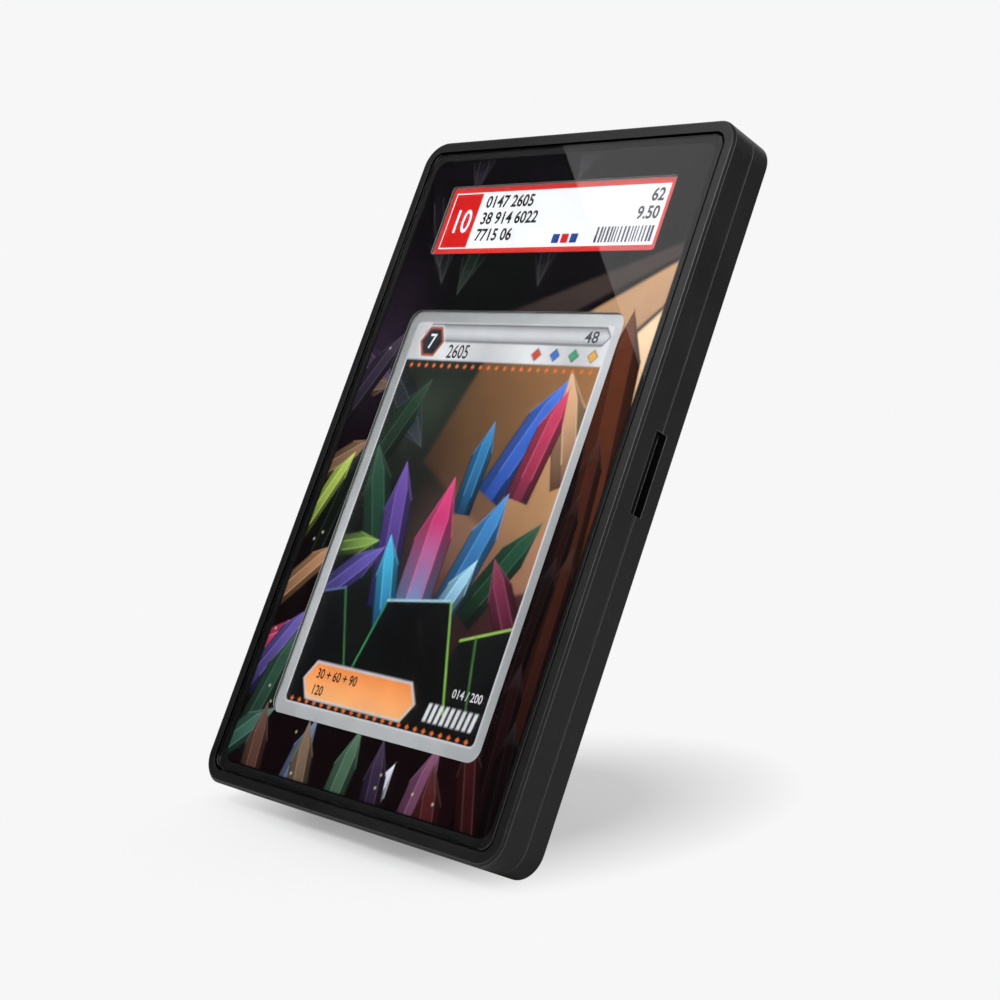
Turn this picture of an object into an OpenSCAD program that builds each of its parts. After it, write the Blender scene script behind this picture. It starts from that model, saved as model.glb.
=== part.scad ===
// Display case for one graded trading card. A lift-off cover with a flush window and a printed
// sheet closes, by magnets, over a tray that holds the clear card holder. The case leans back
// on its rear bottom edge and on a fold-out leg. Every piece is drawn in the case's own frame,
// with X across, Y up the case and Z from its back to its front, and is then stood up by the
// lean angle.

/* [Case] */
// Lean of the case back from upright, degrees
lean = 25.5; // [18:0.5:32]
// Outer radius of the case's corners
corner_r = 5.6; // [4.6:0.1:8]
// Thickness of the side walls, from the card holder's space to the outside
wall_w = 4.7; // [4.5:0.1:7]
// Depth of the front half, from the seam to the front face
front_d = 5.65; // [4.8:0.05:6]
// Bevel of the outer front and rear edges
edge_c = 0.5; // [0.3:0.1:0.9]
// Bevel of both halves at the seam
seam_c = 0.15; // [0.05:0.05:0.3]
// Height of the locating lip over the seam
lip_h = 0.8; // [0.5:0.1:1.2]
// Thickness of the locating lip
lip_w = 0.9; // [0.6:0.1:1]
// Play around the locating lip
lip_play = 0.15; // [0.1:0.05:0.25]

/* [Window] */
// Width of the frame's rim around the window
rim_w = 2.5; // [2:0.1:3]
// Thickness of the clear window
window_t = 1.2; // [1:0.1:2]
// Groove between the rim and the window
groove_w = 0.4; // [0.2:0.05:0.6]
// Polished bevel of the window's edge
window_c = 0.15; // [0.05:0.05:0.3]
// Thickness of each adhesive ring
tape_t = 0.1; // [0.05:0.05:0.2]
// Gap between an adhesive ring and the edges beside it
tape_gap = 0.2; // [0.1:0.05:0.4]

/* [Printed sheet] */
// Thickness of the printed sheet
sheet_t = 0.15; // [0.1:0.05:0.3]
// Play between the printed sheet and the rim
sheet_play = 0.3; // [0.2:0.1:0.6]
// Overlap of the sheet over the card's and the label's edges
cutout_lap = 0.1; // [0:0.05:0.4]

/* [Card and label] */
// Width of the card
card_w = 63; // [60:1:66]
// Height of the card
card_h = 88; // [84:1:92]
// Thickness of the card
card_t = 0.35; // [0.3:0.05:0.9]
// Corner radius of the card
card_r = 3; // [2:0.1:4]
// Width of the label
label_w = 65.5; // [60:0.5:70]
// Height of the label
label_h = 16; // [12:0.5:20]
// Thickness of the label
label_t = 0.3; // [0.2:0.05:0.5]
// Corner radius of the label
label_r = 0.8; // [0.5:0.1:3]

/* [Card holder] */
// Width of clear plastic on each side of the wider of the card and the label
holder_side = 7.25; // [5:0.25:9]
// Height of the card's lower edge over the holder's lower edge
card_up = 11.6; // [8:0.1:14]
// Space between the card's upper edge and the label's lower edge
label_up = 12.7; // [4:0.1:16]
// Space between the label's upper edge and the holder's upper edge
label_down = 5.7; // [4:0.1:9]
// Corner radius of the card holder
holder_r = 3.2; // [2:0.1:5]
// Thickness of the holder's front shell
holder_front_t = 2.6; // [2.2:0.1:3.4]
// Thickness of the holder's back shell
holder_back_t = 2.4; // [1.8:0.1:3.2]
// Clear plastic over the card and the label
face_t = 0.5; // [0.4:0.1:1]
// Play between the holder and the case's walls
holder_play = 0.3; // [0.2:0.1:0.5]
// Play between the card or label and the side of its well
well_play = 0.15; // [0.1:0.05:0.3]
// Clearance before and behind the card and the label
card_gap = 0.03; // [0.02:0.01:0.06]
// Width of the welded rim between the two shells
weld_w = 2; // [1:0.5:3]
// Clearance between the two shells inside the welded rim
weld_gap = 0.06; // [0.04:0.01:0.1]
// Bevel of the holder's outer edges
holder_c = 0.4; // [0.2:0.1:0.8]

/* [Pad and magnets] */
// Thickness of the soft pad behind the holder
pad_t = 0.5; // [0.3:0.1:1]
// Play around the soft pad
pad_play = 0.3; // [0.2:0.1:0.6]
// Length of a bar magnet
bar_l = 12; // [8:1:16]
// Width and depth of a bar magnet
bar_s = 2.2; // [1.6:0.1:2.4]
// Distance of a bar magnet from the outside of the wall
bar_in = 0.9; // [0.7:0.05:1]
// Distance of a bar magnet below the seam face
bar_gap = 0.1; // [0.05:0.05:0.2]
// Distance between the two magnets of a long side
bar_span_y = 80; // [60:1:100]
// Distance between the two magnets of a short side
bar_span_x = 44; // [30:1:54]

/* [Pry slot] */
// Length of the pry slot
slot_l = 16; // [10:1:24]
// Width of the pry slot in the front half
slot_front = 1.5; // [1:0.1:2]
// Width of the pry slot in the rear half
slot_rear = 1.4; // [1:0.1:2]
// Depth of the pry slot
slot_d = 2; // [1:0.1:2.5]
// Height of the slot's middle over the middle of the case
slot_up = 3; // [-4:0.5:8]

/* [Stand leg] */
// Height of the hinge pin up the back
pivot_up = 78; // [68:1:88]
// Distance of the leg's foot behind the rear bottom edge
foot_back = 38; // [35:1:44]
// Width of the leg at its knuckle
leg_w = 22; // [16:1:28]
// Width of the leg at its foot
leg_tip_w = 16; // [13:1:20]
// Thickness of the leg's plate
leg_t = 1.6; // [1.2:0.1:1.8]
// Width of the slot that lightens the leg
leg_slot_w = 7; // [5:0.5:8]
// Length of the slot that lightens the leg
leg_slot_l = 26; // [16:1:32]
// Radius of the leg's knuckle
knuckle_r = 1.25; // [1.15:0.05:1.3]
// Radius of the hinge pin
pin_r = 0.6; // [0.5:0.05:0.65]
// Running clearance between the pin and the knuckle
pin_play = 0.05; // [0.03:0.01:0.08]
// Length of the pin held in the shell at each end
pin_grip = 4; // [3:0.5:5]
// Depth of the recess for the leg
recess_d = 2.75; // [2.6:0.05:3.1]
// Thickness of the shell between the recess and the tray
skin_t = 0.9; // [0.8:0.1:1.4]
// Play around the leg in its recess
recess_play = 0.4; // [0.3:0.05:0.6]
// Clearance of the folded leg below the back
flush_gap = 0.1; // [0.05:0.05:0.2]
// Clearance left at the leg's stop
stop_gap = 0.05; // [0.03:0.01:0.1]
// Radius of the foot sleeve
foot_r = 1.2; // [1.15:0.01:1.22]
// Length of the foot sleeve along the leg
foot_l = 6; // [5:0.5:8]
// Thickness of the foot sleeve's side walls
foot_wall = 0.8; // [0.6:0.1:1.2]
// Thickness of a hinge washer
washer_t = 0.3; // [0.2:0.05:0.34]
// Radius of the thumb scoop around the leg's end
scoop_r = 12.5; // [11:0.5:15]
// Distance of the scoop's middle up from the leg's end
scoop_up = 8; // [7:0.5:14]
// Depth of the thumb scoop
scoop_d = 2; // [1.5:0.1:2.4]

/* [Leg fittings] */
// Width of a pin keeper
keeper_w = 8; // [7:0.5:10]
// Height of a pin keeper
keeper_h = 9; // [8:0.5:12]
// Play around a pin keeper
keeper_play = 0.1; // [0.05:0.05:0.2]
// Distance of each keeper screw from the pin
screw_off = 3; // [2.8:0.1:3.2]
// Shank radius of a keeper screw
screw_r = 0.5; // [0.4:0.05:0.6]
// Head radius of a keeper screw
screw_head_r = 1; // [0.8:0.05:1.1]
// Length of a keeper screw
screw_l = 2.6; // [2:0.1:3]
// Clearance around a screw in its keeper
screw_play = 0.02; // [0.02:0.01:0.1]
// Radius of the leg's magnet
disc_r = 2.5; // [2:0.1:2.8]
// Thickness of the leg's magnet
disc_t = 1; // [0.8:0.1:1.1]
// Distance of the leg's magnet from the leg's end
disc_up = 12; // [11:0.5:14]
// Radius of the catch plate
catch_r = 3; // [2.5:0.1:4]
// Thickness of the catch plate
catch_t = 0.5; // [0.4:0.05:0.55]

/* [Hidden] */
$fn = 64;
// Extra length that carries a cut past a face
cut = 0.5;
// The holder is sized from the card and the label, and the case from the holder
holder_w = max(card_w, label_w) + 2 * holder_side;
holder_h = card_up + card_h + label_up + label_h + label_down;
space_w = holder_w + 2 * holder_play;
space_h = holder_h + 2 * holder_play;
case_w = space_w + 2 * wall_w;
case_h = space_h + 2 * wall_w;
holder_t = holder_front_t + holder_back_t;
floor_t = recess_d + skin_t;
case_d = floor_t + pad_t + holder_t + 2 * tape_t + sheet_t + window_t;
rear_d = case_d - front_d;
mid_y = case_h / 2;
// Heights over the back of the case, in the order of the stack
holder_z = floor_t + pad_t;
ledge_z = holder_z + holder_t;
sheet_z = ledge_z + tape_t;
window_z = sheet_z + sheet_t + tape_t;
// The window's opening follows the rim
opening_w = case_w - 2 * rim_w;
opening_h = case_h - 2 * rim_w;
opening_r = corner_r - rim_w;
card_y = mid_y - holder_h / 2 + card_up + card_h / 2;
label_y = mid_y + holder_h / 2 - label_down - label_h / 2;
well_d = holder_front_t - face_t;
// The leg runs from the pin to a foot on the ground
lean_s = sin(lean);
lean_c = cos(lean);
ground_z = edge_c * lean_s;
pin_z = knuckle_r + flush_gap;
pivot_back = pivot_up * lean_s - pin_z * lean_c;
pivot_high = pivot_up * lean_c + pin_z * lean_s;
foot_run = foot_back - pivot_back;
foot_drop = pivot_high - ground_z - foot_r;
leg_l = sqrt(foot_run * foot_run + foot_drop * foot_drop);
leg_open = lean + atan2(foot_run, foot_drop);
heel_l = (recess_d - pin_z - stop_gap) / sin(leg_open);
keeper_t = pin_z - pin_r;
keeper_x = leg_w / 2 + recess_play + keeper_w / 2;
screw_x = leg_w / 2 + recess_play + pin_grip;
screw_sink = 0.05;
head_t = screw_head_r - screw_r;
// The bounding box at rest sets the part's origin at its bottom centre
back_reach = (case_h - edge_c) * lean_s;
front_reach = case_d * lean_c - edge_c * lean_s;
centre_back = (back_reach - front_reach) / 2;
echo(case_w = case_w, case_h = case_h, case_d = case_d, leg_l = leg_l, leg_open = leg_open);
echo(origin_back = centre_back, ground_z = ground_z);

// Stands a piece of the flat case up, leaning back, with the origin under the box's middle
module standing() {
    translate([0, -centre_back, -ground_z]) rotate([90 - lean, 0, 0]) children();
}

// Puts a piece of the folded leg at the pin and swings it open
module on_pin() {
    translate([0, pivot_up, pin_z]) rotate([leg_open, 0, 0]) children();
}

// Flat outline with round corners, centred
module round_outline(w, h, r) {
    square([w - 2 * r, h], center = true);
    square([w, h - 2 * r], center = true);
    for (x = [-1, 1], y = [-1, 1])
        translate([x * (w / 2 - r), y * (h / 2 - r)]) circle(r);
}

// Plate with round corners, centred on X and Y, standing on Z = 0
module plate(w, h, t, r) {
    linear_extrude(t) round_outline(w, h, r);
}

// Ring between two round-cornered outlines
module ring(w, h, r, inner_w, inner_h, inner_r, t) {
    linear_extrude(t) difference() {
        round_outline(w, h, r);
        round_outline(inner_w, inner_h, inner_r);
    }
}

// Block with round corners and a bevel along its lower and its upper edge
module bevelled_block(w, h, t, r, low_c, high_c) {
    side = [[0, 0], [r - low_c, 0], [r, low_c], [r, t - high_c], [r - high_c, t], [0, t]];
    for (x = [-1, 1], y = [-1, 1])
        translate([x * (w / 2 - r), y * (h / 2 - r), 0]) rotate_extrude() polygon(side);
    bevelled_bar(w, h - 2 * r, t, low_c, high_c);
    rotate([0, 0, 90]) bevelled_bar(h, w - 2 * r, t, low_c, high_c);
}

// Bar across X with bevelled ends, the flat run of a bevelled block
module bevelled_bar(w, run, t, low_c, high_c) {
    x = w / 2;
    section = [
        [-x + low_c, 0], [x - low_c, 0], [x, low_c], [x, t - high_c],
        [x - high_c, t], [-x + high_c, t], [-x, t - high_c], [-x, low_c]
    ];
    translate([0, run / 2, 0]) rotate([90, 0, 0]) linear_extrude(run) polygon(section);
}

// Puts a piece at each place of a bar magnet, its length along the wall
module at_bars() {
    in = bar_in + bar_s / 2;
    for (x = [-1, 1], y = [-1, 1]) {
        translate([x * (case_w / 2 - in), mid_y + y * bar_span_y / 2, 0]) rotate([0, 0, 90]) children();
        translate([x * bar_span_x / 2, mid_y + y * (case_h / 2 - in), 0]) children();
    }
}

// Bar magnet or its pocket, with its open side at Z = 0 and the rest below
module bar(depth, over) {
    translate([-bar_l / 2, -bar_s / 2, -depth]) cube([bar_l, bar_s, depth + over]);
}

// The pry slot, cut from the right wall of both halves
module pry_slot() {
    translate([case_w / 2 - slot_d, mid_y + slot_up - slot_l / 2, rear_d - slot_rear])
        cube([slot_d + cut, slot_l, slot_rear + slot_front]);
}

// Front half of the case
module front_frame() {
    color([0.10, 0.10, 0.11]) standing() difference() {
        translate([0, mid_y, rear_d]) bevelled_block(case_w, case_h, front_d, corner_r, seam_c, edge_c);
        translate([0, mid_y, ledge_z]) plate(opening_w, opening_h, case_d, opening_r);
        translate([0, mid_y, rear_d - cut]) plate(space_w, space_h, case_d, holder_r);
        translate([0, mid_y, rear_d - cut]) lip_space();
        translate([0, 0, rear_d]) at_bars() mirror([0, 0, 1]) bar(bar_s + bar_gap, cut);
        pry_slot();
    }
}

// Room for the locating lip in the front half
module lip_space() {
    grow = 2 * (lip_w + lip_play);
    plate(space_w + grow, space_h + grow, cut + lip_h + lip_play, holder_r + grow / 2);
}

// Clear window, flush with the rim
module window_panel() {
    color([0.75, 0.82, 0.86, 0.3]) standing() translate([0, mid_y, window_z])
        bevelled_block(opening_w - 2 * groove_w, opening_h - 2 * groove_w, window_t,
            opening_r - groove_w, window_c, window_c);
}

// Adhesive ring on the frame's ledge, one piece thick
module tape_ring() {
    inner_w = space_w + 2 * tape_gap;
    inner_h = space_h + 2 * tape_gap;
    outer = 2 * (sheet_play + tape_gap);
    ring(opening_w - outer, opening_h - outer, opening_r - outer / 2, inner_w, inner_h, holder_r, tape_t);
}

// Adhesive ring between the window and the printed sheet
module window_tape() {
    color([0.05, 0.05, 0.05]) standing() translate([0, mid_y, window_z - tape_t]) tape_ring();
}

// Adhesive ring between the printed sheet and the ledge
module sheet_tape() {
    color([0.05, 0.05, 0.05]) standing() translate([0, mid_y, ledge_z]) tape_ring();
}

// Printed sheet with openings for the card and the label
module art_sheet() {
    lap = 2 * cutout_lap;
    color([0.16, 0.09, 0.14]) standing() translate([0, 0, sheet_z]) linear_extrude(sheet_t) difference() {
        translate([0, mid_y]) round_outline(opening_w - 2 * sheet_play, opening_h - 2 * sheet_play,
            opening_r - sheet_play);
        translate([0, card_y]) round_outline(card_w - lap, card_h - lap, card_r - cutout_lap);
        translate([0, label_y]) round_outline(label_w - lap, label_h - lap, label_r - cutout_lap);
    }
}

// Bar magnets of the cover
module front_magnets() {
    color([0.7, 0.7, 0.72]) standing() translate([0, 0, rear_d + bar_gap])
        at_bars() mirror([0, 0, 1]) bar(bar_s, 0);
}

// Rear half of the case
module rear_shell() {
    color([0.10, 0.10, 0.11]) standing() difference() {
        union() {
            translate([0, mid_y, 0]) bevelled_block(case_w, case_h, rear_d, corner_r, edge_c, seam_c);
            translate([0, mid_y, floor_t]) plate(space_w + 2 * lip_w, space_h + 2 * lip_w,
                rear_d + lip_h - floor_t, holder_r + lip_w);
        }
        translate([0, mid_y, floor_t]) plate(space_w, space_h, case_d, holder_r);
        translate([0, 0, rear_d]) at_bars() bar(bar_s + bar_gap, cut);
        pry_slot();
        leg_recess();
        pin_seats();
        translate([0, foot_y() + disc_up, floor_t - catch_t]) cylinder(r = catch_r, h = catch_t + cut);
    }
}

// Height of the folded leg's end over the bottom of the case
function foot_y() = pivot_up - leg_l;

// Outline of the leg, from the pin at Y = 0 down to its end, widened by a margin
module leg_outline(length, margin) {
    top = leg_w / 2 + margin;
    tip = leg_tip_w / 2 + margin;
    polygon([[-top, 0], [-tip, -length], [tip, -length], [top, 0]]);
}

// Recess in the back for the folded leg, with the thumb scoop around its end
module leg_recess() {
    room = leg_l + foot_r + recess_play;
    reach = heel_l + recess_play;
    translate([0, pivot_up, -cut]) linear_extrude(recess_d + cut) leg_outline(room, recess_play);
    translate([-leg_w / 2 - recess_play, pivot_up - cut, -cut])
        cube([leg_w + 2 * recess_play, reach + cut, recess_d + cut]);
    translate([0, foot_y() + scoop_up, -cut]) cylinder(r = scoop_r, h = scoop_d + cut);
}

// Grooves, keeper pockets and screw holes beside the recess
module pin_seats() {
    half = leg_w / 2 + recess_play + pin_grip;
    translate([-half, pivot_up, pin_z]) rotate([0, 90, 0]) cylinder(r = pin_r, h = 2 * half);
    translate([-half, pivot_up - pin_r, -cut]) cube([2 * half, 2 * pin_r, pin_z + cut]);
    for (x = [-1, 1]) {
        translate([x * keeper_x, pivot_up, -cut]) linear_extrude(keeper_t + cut)
            square([keeper_w + 2 * keeper_play, keeper_h + 2 * keeper_play], center = true);
    }
    at_screws() cylinder(r = screw_r, h = screw_sink + screw_l);
}

// Puts a piece at each keeper screw
module at_screws() {
    for (x = [-1, 1], y = [-1, 1])
        translate([x * screw_x, pivot_up + y * screw_off, 0]) children();
}

// Bar magnets of the tray
module rear_magnets() {
    color([0.7, 0.7, 0.72]) standing() translate([0, 0, rear_d - bar_gap]) at_bars() bar(bar_s, 0);
}

// Soft pad on the tray's floor
module back_pad() {
    color([0.12, 0.12, 0.13]) standing() translate([0, mid_y, floor_t])
        plate(space_w - 2 * pad_play, space_h - 2 * pad_play, pad_t, holder_r);
}

// Steel disc under the pad, opposite the folded leg's magnet
module catch_plate() {
    color([0.6, 0.6, 0.62]) standing() translate([0, foot_y() + disc_up, floor_t - catch_t])
        cylinder(r = catch_r, h = catch_t);
}

// Hinge pin in its grooves
module hinge_pin() {
    half = leg_w / 2 + recess_play + pin_grip;
    color([0.72, 0.72, 0.74]) standing() translate([-half, pivot_up, pin_z])
        rotate([0, 90, 0]) cylinder(r = pin_r, h = 2 * half);
}

// Washers between the knuckle and the recess walls
module hinge_washers() {
    middle = leg_w / 2 + recess_play / 2;
    color([0.85, 0.85, 0.82]) standing() for (x = [-1, 1])
        translate([x * middle - washer_t / 2, pivot_up, pin_z]) rotate([0, 90, 0]) difference() {
            cylinder(r = knuckle_r, h = washer_t);
            translate([0, 0, -cut]) cylinder(r = pin_r + pin_play, h = washer_t + 2 * cut);
        }
}

// Plates that close the pin grooves, countersunk for their screws
module pin_keepers() {
    color([0.13, 0.13, 0.14]) standing() difference() {
        for (x = [-1, 1])
            translate([x * keeper_x, pivot_up, 0]) linear_extrude(keeper_t)
                square([keeper_w, keeper_h], center = true);
        at_screws() screw_room();
    }
}

// Countersunk hole for a keeper screw
module screw_room() {
    cylinder(r = screw_r + screw_play, h = keeper_t + cut);
    translate([0, 0, screw_sink])
        cylinder(r1 = screw_head_r + screw_play, r2 = screw_r + screw_play, h = head_t);
    translate([0, 0, -cut]) cylinder(r = screw_head_r + screw_play, h = cut + screw_sink);
}

// Countersunk screws of the keepers
module keeper_screws() {
    color([0.62, 0.62, 0.64]) standing() translate([0, 0, screw_sink]) at_screws() difference() {
        union() {
            cylinder(r1 = screw_head_r, r2 = screw_r, h = head_t);
            cylinder(r = screw_r, h = screw_l);
        }
        translate([0, 0, -cut]) cylinder(r = screw_r * 0.9, h = cut + head_t / 2, $fn = 6);
    }
}

// Outline of a well in the holder's front shell, or of the boss that fills it
module well_outline(w, h, r, grow) {
    round_outline(w + 2 * grow, h + 2 * grow, r + grow);
}

// Front shell of the clear card holder, with wells for the card and the label
module holder_front() {
    color([0.80, 0.86, 0.90, 0.3]) standing() translate([0, 0, holder_z + holder_back_t]) difference() {
        translate([0, mid_y, 0]) bevelled_block(holder_w, holder_h, holder_front_t, holder_r, 0, holder_c);
        translate([0, card_y, -cut]) linear_extrude(cut + well_d)
            well_outline(card_w, card_h, card_r, well_play);
        translate([0, label_y, -cut]) linear_extrude(cut + well_d)
            well_outline(label_w, label_h, label_r, well_play);
    }
}

// Back shell of the clear card holder, with bosses that press the card and the label forward
module holder_back() {
    card_boss = well_d - card_t - 2 * card_gap;
    label_boss = well_d - label_t - 2 * card_gap;
    color([0.80, 0.86, 0.90, 0.3]) standing() translate([0, 0, holder_z]) union() {
        difference() {
            translate([0, mid_y, 0])
                bevelled_block(holder_w, holder_h, holder_back_t, holder_r, holder_c, 0);
            translate([0, mid_y, holder_back_t - weld_gap])
                plate(holder_w - 2 * weld_w, holder_h - 2 * weld_w, cut, holder_r);
        }
        translate([0, card_y, holder_back_t - weld_gap]) linear_extrude(card_boss + weld_gap)
            well_outline(card_w, card_h, card_r, -well_play);
        translate([0, label_y, holder_back_t - weld_gap]) linear_extrude(label_boss + weld_gap)
            well_outline(label_w, label_h, label_r, -well_play);
    }
}

// Printed label in its well
module holder_label() {
    color([0.93, 0.93, 0.92]) standing() translate([0, label_y, ledge_z - face_t - card_gap - label_t])
        plate(label_w, label_h, label_t, label_r);
}

// Card in its well
module trading_card() {
    color([0.62, 0.65, 0.66]) standing() translate([0, card_y, ledge_z - face_t - card_gap - card_t])
        plate(card_w, card_h, card_t, card_r);
}

// Flat outline of a slot with round ends, along Y
module slot_outline(w, l) {
    square([w, l - w], center = true);
    for (y = [-1, 1]) translate([0, y * (l - w) / 2]) circle(w / 2);
}

// Tongue at the leg's end that the foot sleeve goes over
module leg_tongue() {
    w = leg_tip_w - 2 * foot_wall;
    translate([-w / 2, -leg_l, -leg_t / 2]) cube([w, foot_l, leg_t]);
}

// Fold-out leg: knuckle, heel that meets the recess floor when open, and slotted plate
module stand_leg() {
    plate_l = leg_l - foot_l;
    color([0.14, 0.14, 0.15]) standing() on_pin() difference() {
        union() {
            translate([-leg_w / 2, 0, 0]) rotate([0, 90, 0]) cylinder(r = knuckle_r, h = leg_w);
            translate([0, 0, -leg_t / 2]) linear_extrude(leg_t) leg_outline(plate_l, 0);
            leg_tongue();
            translate([-leg_w / 2, 0, -leg_t / 2]) cube([leg_w, heel_l, leg_t / 2]);
        }
        translate([-leg_w / 2 - cut, 0, 0]) rotate([0, 90, 0])
            cylinder(r = pin_r + pin_play, h = leg_w + 2 * cut);
        translate([0, -leg_l / 2, -leg_t / 2 - cut]) linear_extrude(leg_t + 2 * cut)
            slot_outline(leg_slot_w, leg_slot_l);
        translate([0, disc_up - leg_l, leg_t / 2 - disc_t]) cylinder(r = disc_r, h = disc_t + cut);
    }
}

// Rubber sleeve over the leg's tongue, round where it stands on the ground
module leg_foot() {
    color([0.06, 0.06, 0.06]) standing() on_pin() difference() {
        translate([-leg_tip_w / 2, -leg_l, 0]) union() {
            rotate([0, 90, 0]) cylinder(r = foot_r, h = leg_tip_w);
            translate([0, 0, -foot_r]) cube([leg_tip_w, foot_l, 2 * foot_r]);
        }
        leg_tongue();
    }
}

// Disc magnet in the leg's inner face
module leg_magnet() {
    color([0.7, 0.7, 0.72]) standing() on_pin() translate([0, disc_up - leg_l, leg_t / 2 - disc_t])
        cylinder(r = disc_r, h = disc_t);
}

front_frame();
window_panel();
window_tape();
art_sheet();
sheet_tape();
front_magnets();
rear_shell();
rear_magnets();
back_pad();
catch_plate();
hinge_pin();
hinge_washers();
pin_keepers();
keeper_screws();
holder_front();
holder_back();
holder_label();
trading_card();
stand_leg();
leg_foot();
leg_magnet();
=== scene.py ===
# %% [markdown]
# # A trading card display case, dressed for its photograph
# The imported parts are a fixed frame: a black two-half case that leans back on a leg, a clear
# window, a printed sheet, and a sealed clear holder with a card and its label. Blender adds the
# camera, the studio, the finish of every surface and the printed pictures.

import math

import bpy
import numpy as np
from mathutils import Euler, Matrix, Vector


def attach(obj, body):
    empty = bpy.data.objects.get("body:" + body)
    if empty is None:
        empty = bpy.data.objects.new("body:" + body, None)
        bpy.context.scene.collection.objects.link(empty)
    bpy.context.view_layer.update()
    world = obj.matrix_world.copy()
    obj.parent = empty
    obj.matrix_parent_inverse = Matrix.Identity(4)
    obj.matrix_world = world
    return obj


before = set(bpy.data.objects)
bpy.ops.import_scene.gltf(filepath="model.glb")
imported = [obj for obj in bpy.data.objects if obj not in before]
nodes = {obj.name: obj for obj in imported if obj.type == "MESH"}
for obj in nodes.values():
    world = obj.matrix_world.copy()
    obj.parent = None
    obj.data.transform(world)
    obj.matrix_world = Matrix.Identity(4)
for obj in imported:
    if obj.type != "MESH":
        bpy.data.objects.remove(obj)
scene = bpy.context.scene


def placed(name, data):
    """A new object in the scene that shows this data."""
    obj = bpy.data.objects.new(name, data)
    scene.collection.objects.link(obj)
    return obj


def unit(way):
    """The same direction with length 1."""
    return np.asarray(way, float) / np.linalg.norm(way)


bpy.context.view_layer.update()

# %% [markdown]
# ## The case's own axes
# The prints are drawn flat, on axes that lean with the case: across, up the case, and from its
# back to its front. One function turns those millimetres into metres in the frame. It repeats
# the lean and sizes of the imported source.

# %% Axes that lean with the case
LEAN = math.radians(25.5)
CASE_H, CASE_D, EDGE_C = 144.0, 10.7, 0.5
sin_l, cos_l = math.sin(LEAN), math.cos(LEAN)
back_shift = ((CASE_H - EDGE_C) * sin_l - (CASE_D * cos_l - EDGE_C * sin_l)) / 2
ACROSS = np.array([1.0, 0.0, 0.0])
UP_CASE = np.array([0.0, sin_l, cos_l])
OUT = np.array([0.0, -cos_l, sin_l])
CORNER = np.array([0.0, -back_shift, -EDGE_C * sin_l])


def lean_back(points):
    """Millimetres on the case's axes to metres in the frame: a weighted sum of three axes."""
    p = np.asarray(points, float)
    return (p[..., :1] * ACROSS + p[..., 1:2] * UP_CASE + p[..., 2:3] * OUT + CORNER) / 1000


print("top of the back:", lean_back([[0, CASE_H, 0]]))

# %% [markdown]
# ## The camera
# The camera was fitted to the straight edges of the case, the card and the label, whose real
# sizes are known. The picture is a crop of a wider one, so the lens is shifted a little.

# %% Camera at the photograph's place
PICTURE_PX, FOCAL_PX, SENSOR = 1000.0, 1931.3, 36.0
CAMERA_AT = (0.284858, -0.246590, 0.102970)
TILT, HEADING = math.radians(84.4908), math.radians(45.9444)
lens = bpy.data.cameras.new("camera")
lens.sensor_width = SENSOR
lens.lens = FOCAL_PX * SENSOR / PICTURE_PX
lens.shift_x, lens.shift_y = -0.0844, -0.0257
lens.clip_start = 0.01
camera = placed("camera", lens)
camera.location = CAMERA_AT
camera.rotation_euler = Euler((TILT, 0.0, HEADING))
scene.camera = camera
scene.view_settings.view_transform = "Standard"
print("lens in mm:", round(lens.lens, 2))

# %% [markdown]
# ## Short ways to make nodes
# A material is a graph of nodes. These helpers add a node, fill its sockets with numbers or
# with links, and do sums and mixes in one line, so that each finish below reads like a recipe.

# %% Adding nodes, materials and groups
def maker(tree):
    """Returns add(kind, inputs, **settings), which adds a node and links or sets its inputs."""
    def add(kind, inputs=None, **settings):
        node = tree.nodes.new("ShaderNode" + kind)
        for key, value in settings.items():
            setattr(node, key, value)
        for key, value in (inputs or {}).items():
            socket = node.inputs[key]
            if isinstance(value, bpy.types.NodeSocket):
                tree.links.new(value, socket)
            else:
                socket.default_value = value
        return node
    return add


def new_material(name):
    """An empty node material, the helper that adds nodes to it, and object coordinates: metres
    in the frame, which ride along when a part moves."""
    mat = bpy.data.materials.new(name)
    mat.use_nodes = True
    mat.node_tree.nodes.clear()
    add = maker(mat.node_tree)
    return mat, add, add("TexCoord").outputs["Object"]


def new_group(name, inputs, outputs):
    """A new node group as use(add, *values), which adds it with its inputs filled in order,
    then its own helper, its entries, and give(value, exit)."""
    tree = bpy.data.node_groups.new(name, "ShaderNodeTree")
    for way, sockets in (("INPUT", inputs), ("OUTPUT", outputs)):
        for label, kind in sockets.items():
            tree.interface.new_socket(label, in_out=way, socket_type="NodeSocket" + kind)
    entry = tree.nodes.new("NodeGroupInput").outputs
    leave = tree.nodes.new("NodeGroupOutput").inputs

    def use(add, *values):
        return add("Group", dict(enumerate(values)), node_tree=tree).outputs

    def give(value, label):
        tree.links.new(value, leave[label])

    return use, maker(tree), entry, give


# %% Sums, mixes and colours
def calc(add, operation, *values, clamp=False):
    """One Math node: its result."""
    return add("Math", dict(enumerate(values)), operation=operation, use_clamp=clamp).outputs[0]


def short(operation):
    """calc with its operation already chosen."""
    return lambda add, *values, clamp=False: calc(add, operation, *values, clamp=clamp)


plus, minus, times = short("ADD"), short("SUBTRACT"), short("MULTIPLY")
larger, smaller = short("MAXIMUM"), short("MINIMUM")


def hypot(add, first, second):
    """The root of the sum of two squares: how far two sides at a right angle reach."""
    squares = [calc(add, "POWER", side, 2.0) for side in (first, second)]
    return calc(add, "SQRT", plus(add, *squares))


def mix(add, mask, first, second):
    """A colour between two colours, by a mask from 0 to 1."""
    return add("Mix", {0: mask, 6: first, 7: second}, data_type="RGBA").outputs[2]


def mix_number(add, share, first, second):
    """A weighted sum of two numbers, in which the second has this share."""
    return plus(add, times(add, first, 1 - share), times(add, second, share))


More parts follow.
